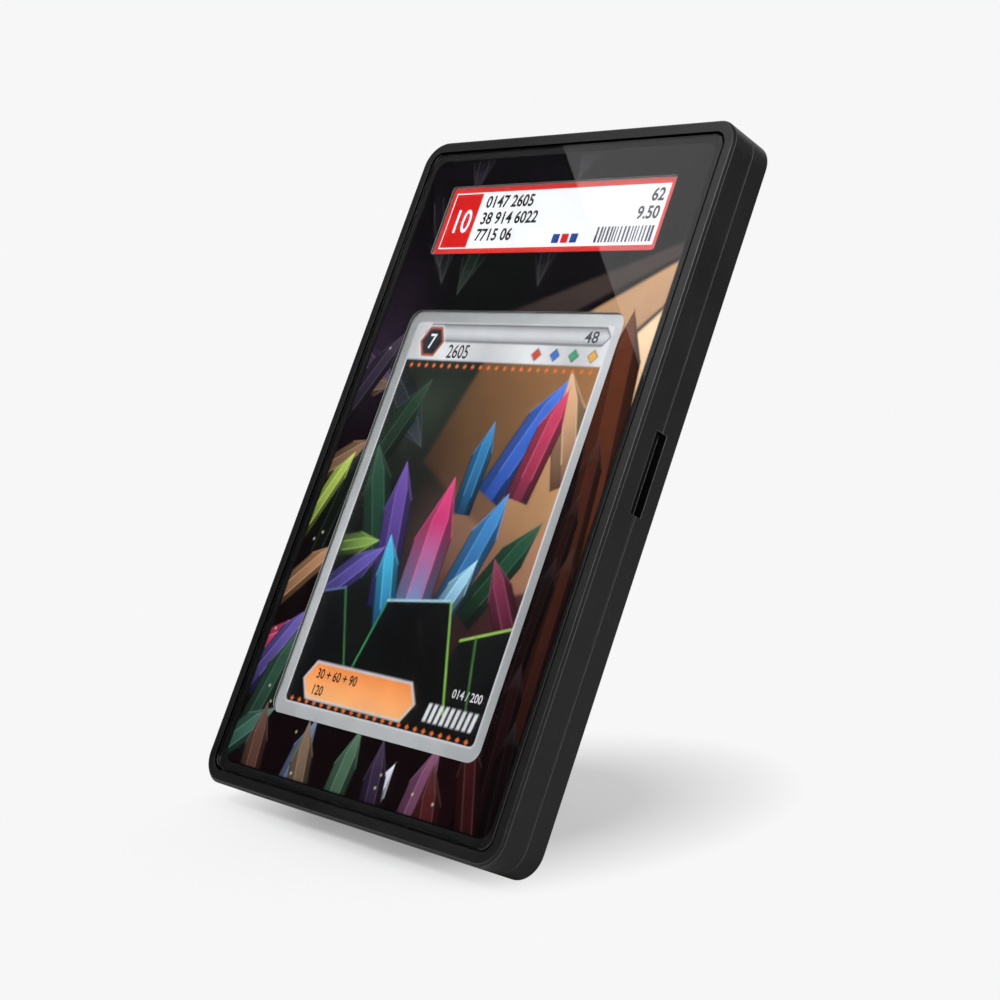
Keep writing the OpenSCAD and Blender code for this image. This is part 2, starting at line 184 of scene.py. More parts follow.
def fit(add, value, low, high, new_low=0.0, new_high=1.0):
    """A value's range low to high, stretched to a new range and held inside it."""
    sockets = {0: value, 1: low, 2: high, 3: new_low, 4: new_high}
    return add("MapRange", sockets, clamp=True).outputs[0]


def noise(add, place, scale, detail=2.0, roughness=0.5):
    """Soft random clouds whose size is about 1 / scale metres."""
    sockets = {"Vector": place, "Scale": scale, "Detail": detail, "Roughness": roughness}
    return add("TexNoise", sockets).outputs["Fac"]


def rgb(red, green, blue):
    """A display colour from 0 to 255 as linear light, which is what shaders count in."""
    return np.clip(np.array([red, green, blue]) / 255.0, 0, 1) ** 2.2


def grey(value):
    """A neutral linear colour with full alpha."""
    return (value, value, value, 1.0)


# %% [markdown]
# ## The studio
# The floor is a pale sweep: flat under the case, then curved up into a wall on every side, so
# no horizon shows. Near the case it is matt paint that takes the shadow. Further out it turns
# into an even pale glow for the camera, for reflections and for what is seen through clear
# parts, and lights the case less strongly, as a tent of white cloth does. The wall in front to
# the left mirrors as black, so that the window stays dark outside the lamp that it mirrors, and
# the wall behind to the right as nearly black, so that the case's side darkens upwards.

# %% Pale sweep
def mesh_of(name, points, faces):
    """A mesh from an array of points and a list of faces."""
    mesh = bpy.data.meshes.new(name)
    mesh.from_pydata(points.tolist(), [], faces)
    mesh.update()
    return mesh


def grid_faces(rows, cols):
    """The quads of a grid: each joins a point to its neighbours in the next row and column."""
    index = np.arange(rows * cols).reshape(rows, cols)
    quads = [index[:-1, :-1], index[:-1, 1:], index[1:, 1:], index[1:, :-1]]
    return np.stack(quads, -1).reshape(-1, 4)


FLAT_TO, SWEEP_TO, STEEPNESS = 1.6, 4.0, 0.9


def sweep():
    """Round the case at every angle, height is zero near it, then grows with the square of the
    distance past the flat part."""
    angle = np.linspace(0, 2 * np.pi, 97)
    radius = np.concatenate([[0.00001], np.linspace(0.3, FLAT_TO, 6),
                             np.linspace(FLAT_TO + 0.15, SWEEP_TO, 16)])
    r, a = np.meshgrid(radius, angle, indexing="ij")
    height = np.clip(r - FLAT_TO, 0, None) ** 2 * STEEPNESS
    points = np.stack([r * np.cos(a), r * np.sin(a), height], -1)
    quads = grid_faces(len(radius), len(angle))
    return mesh_of("floor", points.reshape(-1, 3), quads.tolist())


floor = placed("floor", sweep())
floor.data.shade_smooth()
print("floor points:", len(floor.data.vertices))

# %% Floor paint, dark walls and glow
PAINT, DARK_PAINT, DIM_SHARE = 0.86, 0.02, 0.9
GLOW, FILL = 0.93, 0.27
SHADOW_LIFT, SHADOW_FROM, SHADOW_TO = 0.36, 0.033, 0.07
floor_mat, add, place = new_material("pale_floor")
spot_x, spot_y, _ = add("SeparateXYZ", {0: place}).outputs
far = hypot(add, spot_x, spot_y)


def wall_towards(way, low, high):
    """How much a spot lies in one direction from the case: its part along way over how far it
    is, from 0 at low to 1 at high."""
    part = plus(add, times(add, spot_x, way[0]), times(add, spot_y, way[1]))
    return fit(add, calc(add, "DIVIDE", part, far), low, high)


dark = times(add, wall_towards((-0.80, -0.60), 0.15, 0.45), fit(add, far, 1.2, 1.7))
dim = times(add, times(add, wall_towards((0.74, 0.67), 0.55, 0.85), fit(add, far, 0.4, 0.9)),
            DIM_SHARE)
paint = add("BsdfDiffuse", {"Color": mix(add, dark, grey(PAINT), grey(DARK_PAINT))})
path = add("LightPath").outputs
# A ray that a clear part mirrors inside itself leaves it as a transmission ray, so what counts
# as mirrored is any glossy bounce on the way
bounced = smaller(add, path["Glossy Depth"], 1.0)
outgoing = plus(add, path["Is Glossy Ray"], path["Is Transmission Ray"], clamp=True)
kept = minus(add, 1.0, times(add, bounced, larger(add, dark, dim)))
seen = plus(add, path["Is Camera Ray"], times(add, outgoing, kept), clamp=True)
lit = times(add, path["Is Diffuse Ray"], FILL)
glow = add("Emission", {"Color": grey(1.0),
                        "Strength": plus(add, times(add, seen, GLOW), lit)})
# The distance from under the case, stretched so that the shadow follows its footprint
under = hypot(add, times(add, spot_x, 1.3), times(add, spot_y, 0.9))
# For the camera the glow covers part of the shadow near the case, more towards the footprint's
# edge: painted light that lightens the cast shadow
lifted = fit(add, under, SHADOW_FROM, SHADOW_TO, SHADOW_LIFT, 1.0)
even = larger(add, fit(add, far, 0.05, 0.40), times(add, path["Is Camera Ray"], lifted))
share = times(add, even, plus(add, seen, path["Is Diffuse Ray"], clamp=True))
both = add("MixShader", {0: share, 1: paint.outputs[0], 2: glow.outputs[0]})
add("OutputMaterial", {"Surface": both.outputs[0]})
floor_mat.cycles.emission_sampling = "NONE"
floor.data.materials.append(floor_mat)
print("floor material:", len(floor_mat.node_tree.nodes), "nodes")

# %% [markdown]
# ## The lamps
# A wide soft lamp hangs overhead. A panel in front and a narrow one to the right draw the light
# lines on the bevels, and one behind to the right lights the top and that side. The rim mirrors
# a small near panel, most at its top. The window mirrors a big one to the left in front as the
# pale veil over its upper right. A lamp's power is its brightness times its area times pi, so
# each is written as a brightness, where 1 is white.

# %% Lamps
AIM = np.array([0.0, 0.0, 0.065])
RIM_TOP, RIM_FROM = [0.0, 142.7, CASE_D], np.array([-0.387, -0.698, 0.602])


def panel(name, centre, facing, size, brightness, side=(0.0, 0.0, 1.0)):
    """An area lamp that shines along facing. Its first size runs along side."""
    facing = unit(facing)
    along = unit(side - facing * (facing @ side))
    lamp = bpy.data.lights.new(name, "AREA")
    lamp.shape = "RECTANGLE"
    lamp.size, lamp.size_y = size
    lamp.energy = brightness * size[0] * size[1] * math.pi
    turn = np.stack([along, np.cross(-facing, along), -facing], 1)
    place = Matrix.Translation(Vector(centre)) @ Matrix(turn.tolist()).to_4x4()
    placed(name, lamp).matrix_world = place
    print(name, "hangs at", [round(float(v), 2) for v in centre])


def panel_towards(name, direction, distance, size, brightness):
    """A lamp seen from the case in that direction, upright and facing it."""
    way = unit(direction)
    panel(name, AIM + way * distance, -way, size, brightness)


panel("overhead", (0.55, -0.15, 1.5), (0, 0, -1), (2.4, 2.4), 0.45, side=(1, 0, 0))
panel_towards("front_lamp", (-0.10, -0.75, 0.65), 0.95, (0.45, 0.22), 4.4)
panel("rim_lamp", lean_back(RIM_TOP) + 0.4 * RIM_FROM, -RIM_FROM, (0.16, 0.16), 9.6)
panel_towards("back_lamp", (0.70, 0.45, 0.60), 1.2, (0.90, 0.90), 1.5)
panel_towards("side_lamp", (0.94, 0.10, 0.25), 1.0, (0.60, 0.16), 5.0)

# %% The lamp that the window mirrors
# Two rays that the window mirrors past the veil's edge, and one inside it: each is a spot on
# the window and the way that the ray takes from there
VEIL_RAYS = np.array([[[0.0415, 0.0036, 0.0870], [-0.697, -0.486, 0.528]],
                      [[-0.0019, 0.0248, 0.1315], [-0.724, -0.375, 0.578]],
                      [[0.0407, 0.0234, 0.1285], [-0.669, -0.411, 0.619]]])
VEIL_AWAY, VEIL_L, VEIL_W = 0.7, 1.1, 0.9
edge_low, edge_high, inner = VEIL_RAYS[:, 0] + VEIL_AWAY * VEIL_RAYS[:, 1]
along = unit(edge_high - edge_low)
middle = (edge_low + edge_high) / 2
facing = unit(AIM - middle - along * ((AIM - middle) @ along))
outward = np.cross(along, facing)
outward *= np.sign(outward @ (inner - middle))
panel("veil_lamp", middle + along * 0.2 + outward * VEIL_W / 2, facing, (VEIL_L, VEIL_W), 0.54,
      side=along)

# %% Faint light from all round
world = bpy.data.worlds.new("studio")
scene.world = world
world.use_nodes = True
backdrop = world.node_tree.nodes["Background"].inputs
backdrop["Color"].default_value = grey(1.0)
backdrop["Strength"].default_value = 0.05
print("light from all round:", backdrop["Strength"].default_value)

# %% [markdown]
# ## Surface effects that many finishes share
# Real surfaces aren't even: they have a fine grain, faint clouds in their gloss and edges that
# catch the light. Each effect is a node group built once. It gives only values and normals,
# and every material sets its own amounts.

# %% Grain, soft edges, smears and paper
CLOUDS = 70.0
moulded_grain, add, entry, give = new_group(
    "moulded grain", {"Place": "Vector", "Fine": "Float"},
    {"Height": "Float", "Cloud": "Float", "Speck": "Float"})
fine = noise(add, entry["Place"], entry["Fine"], 3.0, 0.65)
wide = noise(add, entry["Place"], times(add, entry["Fine"], 0.37), 2.0)
dots = noise(add, entry["Place"], times(add, entry["Fine"], 0.2), 1.0)
give(mix_number(add, 0.4, fine, wide), "Height")
give(fit(add, noise(add, entry["Place"], CLOUDS, 3.0), 0.3, 0.7), "Cloud")
give(fit(add, dots, 0.66, 0.74), "Speck")

soft_edge, add, entry, give = new_group(
    "soft edge", {"Radius": "Float"}, {"Normal": "Vector", "Edge": "Float"})
bevel = add("Bevel", {"Radius": entry["Radius"]}, samples=6).outputs[0]
bend = add("VectorMath", {0: bevel, 1: add("NewGeometry").outputs["Normal"]},
           operation="DOT_PRODUCT").outputs["Value"]
give(bevel, "Normal")
give(fit(add, bend, 0.99, 0.93), "Edge")

smears, add, entry, give = new_group(
    "smears", {"Place": "Vector", "Size": "Float"}, {"Film": "Float"})
swirl = add("TexNoise", {"Vector": entry["Place"], "Scale": entry["Size"], "Detail": 4.0,
                         "Distortion": 1.6}).outputs["Fac"]
give(fit(add, swirl, 0.45, 0.75), "Film")

brushed_lines, add, entry, give = new_group(
    "brushed lines", {"Place": "Vector", "Stretch": "Vector"}, {"Line": "Float"})
drawn = add("VectorMath", {0: entry["Place"], 1: entry["Stretch"]}, operation="MULTIPLY")
give(noise(add, drawn.outputs[0], 1.0, 4.0, 0.7), "Line")

paper_fibre, add, entry, give = new_group(
    "paper fibre", {"Place": "Vector"}, {"Fibre": "Float", "Cloud": "Float"})
give(noise(add, entry["Place"], 3800.0, 4.0, 0.7), "Fibre")
give(noise(add, entry["Place"], 160.0, 2.0), "Cloud")
print("effects made:", len(bpy.data.node_groups))

# %% [markdown]
# ## Patterns that follow the case
# Some finishes change at a line: a border's edge, the groove round the window, the dark cut edge
# of a clear sheet. One group turns a place into millimetres on the leaning axes, and another
# says how far inside a rounded box that is.

# %% Case millimetres and rounded boxes
case_mm, add, entry, give = new_group(
    "case millimetres", {"Place": "Vector"}, {"Across": "Float", "Up": "Float", "Out": "Float"})
for label, axis in (("Across", ACROSS), ("Up", UP_CASE), ("Out", OUT)):
    dot = add("VectorMath", {0: entry["Place"], 1: (axis * 1000).tolist()},
              operation="DOT_PRODUCT").outputs["Value"]
    give(minus(add, dot, float(CORNER @ axis)), label)

BOX = ("Across", "Up", "Middle", "Half wide", "Half high", "Corner")
rounded_box, add, entry, give = new_group(
    "rounded box", dict.fromkeys(BOX, "Float"), {"Inside": "Float"})
from_middle = minus(add, entry["Up"], entry["Middle"])
past_x, past_y = [minus(add, calc(add, "ABSOLUTE", away), minus(add, half, entry["Corner"]))
                  for away, half in ((entry["Across"], entry["Half wide"]),
                                     (from_middle, entry["Half high"]))]
beyond = hypot(add, larger(add, past_x, 0.0), larger(add, past_y, 0.0))
within = smaller(add, larger(add, past_x, past_y), 0.0)
give(minus(add, entry["Corner"], plus(add, beyond, within)), "Inside")
print("shared effects:", [group.name for group in bpy.data.node_groups])

# %% [markdown]
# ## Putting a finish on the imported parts
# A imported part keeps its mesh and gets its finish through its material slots. Each recipe ends
# in one Principled shader.

# %% Ending a recipe and dressing parts
def about(add, value, middle, swing):
    """A cloudy value as a number that swings round the middle."""
    return fit(add, value, 0.3, 0.7, middle - swing, middle + swing)


def bump(add, height, depth, strength=1.0, normal=None):
    """The normal of a relief that is depth metres deep, over another normal if one is given."""
    over = {} if normal is None else {"Normal": normal}
    return add("Bump", {"Strength": strength, "Distance": depth, "Height": height, **over}
               ).outputs[0]


def finish_with(add, sockets):
    """The Principled shader with these sockets, joined to the material's output."""
    add("OutputMaterial", {"Surface": add("BsdfPrincipled", sockets).outputs[0]})


def dress(mat, *names):
    """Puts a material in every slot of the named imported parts."""
    for name in names:
        for slot in nodes[name].material_slots:
            slot.material = mat
        print(name, "is finished in", mat.name)


# %% [markdown]
# ## Black moulded plastic
# The case, its leg and the two small covers over the pin are black plastic. Its spark-eroded
# grain is a bump, because it is a hundredth of a millimetre deep. The edges are rounded in the
# normal and a little smoother, as if rubbed, and are painted paler and metallic: a painted
# highlight, so that they mirror the lamps as thin light lines. The groove round the window is
# painted nearly black as shade, because a narrow gap lets hardly any light out.

# %% Case, leg and pin covers
# The edge tone is a painted highlight, and the groove's tone is painted shade
EDGE_SHINE, RUBBED, DUST_SHARE, DUST, GROOVE_SHADE_BLACK = 0.125, 0.15, 0.05, 0.09, 0.0005
OPENING_HALF, OPENING_CORNER, GROOVE_FLOOR = (42.5, 69.5), 3.1, 9.2


def black_plastic(name, tone, roughness, fine, depth, radius, groove=False):
    """Tone is the base colour, fine the grain per metre, depth the bump in metres and radius
    the softness of the edges. With groove, the groove round the window is painted black as shade."""
    mat, add, place = new_material(name)
    grain, edge = moulded_grain(add, place, fine), soft_edge(add, radius)
    body = mix(add, grain["Cloud"], grey(tone * 0.85), grey(tone * 1.2))
    body = mix(add, times(add, grain["Speck"], DUST_SHARE), body, grey(DUST))
    rubbed_edge_and_highlight = mirror = edge["Edge"]
    if groove:
        across, up, out = case_mm(add, place)
        inside = rounded_box(add, across, up, CASE_H / 2, *OPENING_HALF, OPENING_CORNER)[0]
        # Painted shade: the groove round the window goes near black
        groove_shade = times(add, fit(add, inside, -0.12, -0.04),
                       fit(add, out, GROOVE_FLOOR, GROOVE_FLOOR + 0.2))
        rubbed_edge_and_highlight = times(add, rubbed_edge_and_highlight, minus(add, 1.0, groove_shade))
        # The groove is painted shade: black metal mirrors nothing, so it swallows the light that
        # falls into it
        mirror = larger(add, rubbed_edge_and_highlight, groove_shade)
        body = mix(add, groove_shade, body, grey(GROOVE_SHADE_BLACK))
    # The edges' paler colour is a painted highlight; with metal on them it mirrors the lamps as
    # light lines
    colour = mix(add, rubbed_edge_and_highlight, body, grey(EDGE_SHINE))
    clouds = fit(add, grain["Cloud"], 0, 1, roughness - 0.04, roughness + 0.05)
    gloss = minus(add, clouds, times(add, rubbed_edge_and_highlight, RUBBED))
    finish_with(add, {"Base Color": colour, "Roughness": gloss, "Specular IOR Level": 0.20,
                      "Metallic": mirror,
                      "Normal": bump(add, grain["Height"], depth, 1.0, edge["Normal"])})
    return mat


dress(black_plastic("case_black", 0.008, 0.40, 3300.0, 1.5e-5, 0.00026, groove=True),
      "front_frame", "rear_shell")
dress(black_plastic("leg_black", 0.014, 0.46, 2600.0, 9e-6, 0.00025), "stand_leg")
dress(black_plastic("keeper_black", 0.010, 0.30, 5200.0, 3e-6, 0.00012), "pin_keepers")

# %% [markdown]
# ## Clear parts
# The window is clear acrylic, and the card's holder is clear polystyrene. Both are real solids,
# so light bends through them. Shadow rays pass straight through, or the print behind would get
# its light only by rare lucky paths. A faint film of handling shows in the gloss. The window's
# cut edges are tinted near black as painted shade, for the black frame round them.

# %% Window and holder
# The cut edge tint is painted shade
PANE_HALF, PANE_CORNER, CUT_EDGE_SHADE, SHADOW_PASS = (42.1, 69.1), 2.7, 0.004, 0.975
ACRYLIC_IOR, POLYSTYRENE_IOR = 1.49, 1.57


def clear_plastic(name, clean, filmed, index, haze, size, rim=False):
    """Clean and filmed are the tints, index how much light bends, haze the most roughness that
    the film gives. With rim, the cut edges round the window are tinted near black as painted shade."""
    mat, add, place = new_material(name)
    film = smears(add, place, size)["Film"]
    tint = mix(add, film, clean, filmed)
    if rim:
        across, up, _ = case_mm(add, place)
        inside = rounded_box(add, across, up, CASE_H / 2, *PANE_HALF, PANE_CORNER)[0]
        # Near black at the cut edges: painted shade
        tint = mix(add, fit(add, inside, 0.14, 0.20), grey(CUT_EDGE_SHADE), tint)
    glass = add("BsdfPrincipled", {
        "Base Color": tint, "Roughness": fit(add, film, 0.3, 1.0, 0.0, haze),
        "IOR": index, "Transmission Weight": 1.0})
    through = add("BsdfTransparent", {"Color": grey(SHADOW_PASS)})
    both = add("MixShader", {0: add("LightPath").outputs["Is Shadow Ray"],
                             1: glass.outputs[0], 2: through.outputs[0]})
    add("OutputMaterial", {"Surface": both.outputs[0]})
    return mat


dress(clear_plastic("window_clear", (0.985, 0.99, 0.995, 1), (0.97, 0.98, 0.985, 1),
                    ACRYLIC_IOR, 0.012, 28.0, rim=True), "window_panel")
dress(clear_plastic("holder_clear", (0.98, 0.987, 0.99, 1), (0.96, 0.97, 0.975, 1),
                    POLYSTYRENE_IOR, 0.02, 45.0), "holder_front", "holder_back")

# %% [markdown]
# ## Small parts
# Magnets are nickel plated, the pin, screws and catch plate are plain drawn or turned steel, the
# washers are nylon, the foot is rubber, the pad is felt and the two thin rings are black tape.

# %% Metal
METAL_EDGE = 0.0001


def metal(name, dark, pale, roughness, swing, stretch, depth):
    """A metal whose drawn lines change its tone, and its gloss by the swing. Stretch is how
    often they change along each axis, and depth how deep they are, in metres."""
    mat, add, place = new_material(name)
    line, edge = brushed_lines(add, place, stretch)["Line"], soft_edge(add, METAL_EDGE)
    finish_with(add, {"Base Color": mix(add, line, dark, pale), "Metallic": 1.0,
                      "Roughness": about(add, line, roughness, swing),
                      "Normal": bump(add, line, depth, 0.6, edge["Normal"])})
    return mat


dress(metal("magnet_plated", (0.53, 0.51, 0.47, 1), (0.64, 0.62, 0.58, 1), 0.26, 0.02,
            (900.0, 900.0, 900.0), 2e-7), "front_magnets", "rear_magnets", "leg_magnet")
dress(metal("steel_plain", (0.34, 0.34, 0.35, 1), (0.56, 0.56, 0.57, 1), 0.33, 0.09,
            (60.0, 3000.0, 3000.0), 3e-6), "hinge_pin", "catch_plate", "keeper_screws")

# %% Nylon, rubber, felt and tape
def soft_stuff(name, dark, pale, roughness, scale, depth, extra=None):
    """A matt material whose fibres or pores change its tone and stand up by depth metres."""
    mat, add, place = new_material(name)
    pores = noise(add, place, scale, 4.0, 0.7)
    clouds = noise(add, place, scale / 30, 2.0)
    tone = mix_number(add, 0.3, pores, clouds)
    finish_with(add, {"Base Color": mix(add, fit(add, tone, 0.3, 0.7), dark, pale),
                      "Roughness": about(add, tone, roughness, 0.05),
                      "Normal": bump(add, pores, depth), **(extra or {})})
    return mat


dress(soft_stuff("washer_white", grey(0.62), grey(0.74), 0.42, 1500.0, 4e-6,
                 {"Subsurface Weight": 0.15, "Subsurface Scale": 0.0004}), "hinge_washers")
dress(soft_stuff("foot_rubber", grey(0.008), grey(0.020), 0.68, 2600.0, 1.5e-5), "leg_foot")
dress(soft_stuff("pad_black", grey(0.006), grey(0.030), 0.92, 5200.0, 6e-5,
                 {"Sheen Weight": 0.35, "Sheen Roughness": 0.5}), "back_pad")
dress(soft_stuff("adhesive_black", grey(0.005), grey(0.009), 0.5, 1800.0, 3e-6,
                 {"Specular IOR Level": 0.1}), "window_tape", "sheet_tape")

# %% [markdown]
# ## Paper, label and card stock
# The printed sheet is dark ink on white paper, and its cut edges show the paper. The label is
# white paper with a thin grey outline and a red border. The card is white stock, and its back
# has a plain lattice. Their borders are rounded boxes, measured in case millimetres, so they
# stay crisp however close the camera comes.

# %% Sheet, label and card stock
SHEET_TOP, LABEL_TOP, CARD_TOP, CARD_BACK = 9.40, 8.62, 8.62, 8.27
LABEL_Y, CARD_Y = 125.3, 60.6
LABEL_HALF, CARD_HALF = (32.75, 8.0), (31.5, 44.0)
LABEL_CORNER, CARD_CORNER, LATTICE = 0.8, 3.0, 5.0


def paper(name, draw, roughness, sockets):
    """Paper with fibres. draw(add, across, up, out, fibre) returns the colour of the print."""
    mat, add, place = new_material(name)
    fibre = paper_fibre(add, place)
    colour = draw(add, *case_mm(add, place), fibre)
    finish_with(add, {"Base Color": colour, "Normal": bump(add, fibre["Fibre"], 4e-6, 0.5),
                      "Roughness": about(add, fibre["Cloud"], roughness, 0.05), **sockets})
    return mat


def stock(add, fibre):
    """White paper, a little uneven."""
    return mix(add, fibre["Fibre"], (0.66, 0.655, 0.635, 1), (0.74, 0.735, 0.72, 1))


def face_on(add, out, top, fibre, face):
    """A face's print above its paper's cut edges and back."""
    return mix(add, fit(add, out, top - 0.03, top - 0.01), stock(add, fibre), face)


def draw_sheet(add, across, up, out, fibre):
    """Near-black ink on the front, paper on the cut edges and the back."""
    return face_on(add, out, SHEET_TOP, fibre,
                   mix(add, fibre["Cloud"], grey(0.005), grey(0.009)))


def draw_label(add, across, up, out, fibre):
    """From the edge inwards: a grey outline, a red border and a white field."""
    depth = rounded_box(add, across, up, LABEL_Y, *LABEL_HALF, LABEL_CORNER)[0]
    red = mix(add, fibre["Cloud"], (0.63, 0.012, 0.006, 1), (0.58, 0.010, 0.005, 1))
    field = mix(add, fibre["Fibre"], (0.77, 0.775, 0.785, 1), (0.81, 0.815, 0.825, 1))
    inner = mix(add, fit(add, depth, 1.45, 1.55), red, field)
    face = mix(add, fit(add, depth, 0.30, 0.38), (0.36, 0.27, 0.28, 1), inner)
    return face_on(add, out, LABEL_TOP, fibre, face)


def draw_card(add, across, up, out, fibre):
    """White stock with, on the back, pale diamonds on blue inside a pale border."""
    lines = []
    for sign in ("ADD", "SUBTRACT"):
        slope = calc(add, "FRACT", calc(add, "DIVIDE", calc(add, sign, across, up), LATTICE))
        lines.append(calc(add, "ABSOLUTE", minus(add, slope, 0.5)))
    net = fit(add, smaller(add, *lines), 0.05, 0.075)
    lattice = mix(add, net, (0.30, 0.36, 0.46, 1), (0.020, 0.055, 0.13, 1))
    depth = rounded_box(add, across, up, CARD_Y, *CARD_HALF, CARD_CORNER)[0]
    back = mix(add, fit(add, depth, 2.95, 3.1), (0.46, 0.47, 0.48, 1), lattice)
    return mix(add, fit(add, out, CARD_BACK, CARD_BACK + 0.02), back, stock(add, fibre))


dress(paper("print_dark", draw_sheet, 0.48, {"Specular IOR Level": 0.15}), "art_sheet")
dress(paper("label_print", draw_label, 0.42, {"Specular IOR Level": 0.12}), "holder_label")
dress(paper("card_print", draw_card, 0.38, {"Coat Weight": 0.3, "Coat Roughness": 0.12}),
      "trading_card")

# %% [markdown]
# ## A way to print pictures without an image
# The two pictures are worked out for every point of a fine flat grid and kept as the points'
# colours. Inks are laid one over another: facets with a gradient, thin seams and glows. A point
# past the outline of the card, or of the sheet with its openings, is moved straight onto it,
# and quads that lie wholly past it are left out.

# %% Flat grids that follow rounded outlines
A_HAIR = 1e-9


def outline_gap(x, y, middle, half, corner):
    """Distance from a rounded box and the way straight out of it. At a corner it is the
    distance from the centre of its arc less the radius, and the way points from there."""
    cx, cy = x - middle[0], y - middle[1]
    qx, qy = np.abs(cx) - (half[0] - corner), np.abs(cy) - (half[1] - corner)
    px, py = np.maximum(qx, 0), np.maximum(qy, 0)
    gap = np.hypot(px, py) + np.minimum(np.maximum(qx, qy), 0) - corner
    px = np.where((px == 0) & (py == 0) & (qx >= qy), 1.0, px)
    py = np.where((px == 0) & (py == 0), 1.0, py)
    size = np.hypot(px, py)
    return gap, np.sign(cx) * px / size, np.sign(cy) * py / size


def print_grid(middle, half, corner, step, holes=()):
    """Points and quads of a flat grid inside one rounded box and outside the others."""
    cols, rows = [int(round(2 * h / step)) + 1 for h in half]
    x, y = np.meshgrid(np.linspace(-half[0], half[0], cols) + middle[0],
                       np.linspace(-half[1], half[1], rows) + middle[1])
    x, y = x.ravel(), y.ravel()
    quads = grid_faces(rows, cols)
    for sign, (spot, size, bend) in [(1, (middle, half, corner))] + [(-1, h) for h in holes]:
        gap, out_x, out_y = outline_gap(x, y, spot, size, bend)
        past = sign * gap > A_HAIR
        quads = quads[~past[quads].all(1)]
        x, y = x - np.where(past, gap * out_x, 0), y - np.where(past, gap * out_y, 0)
    used, quads = np.unique(quads, return_inverse=True)
    return x[used], y[used], quads.reshape(-1, 4)


# %% Inks
def blend(first, last, share):
    """Colours between two, one for each share from 0 to 1."""
    return first + (last - first) * share[:, None]


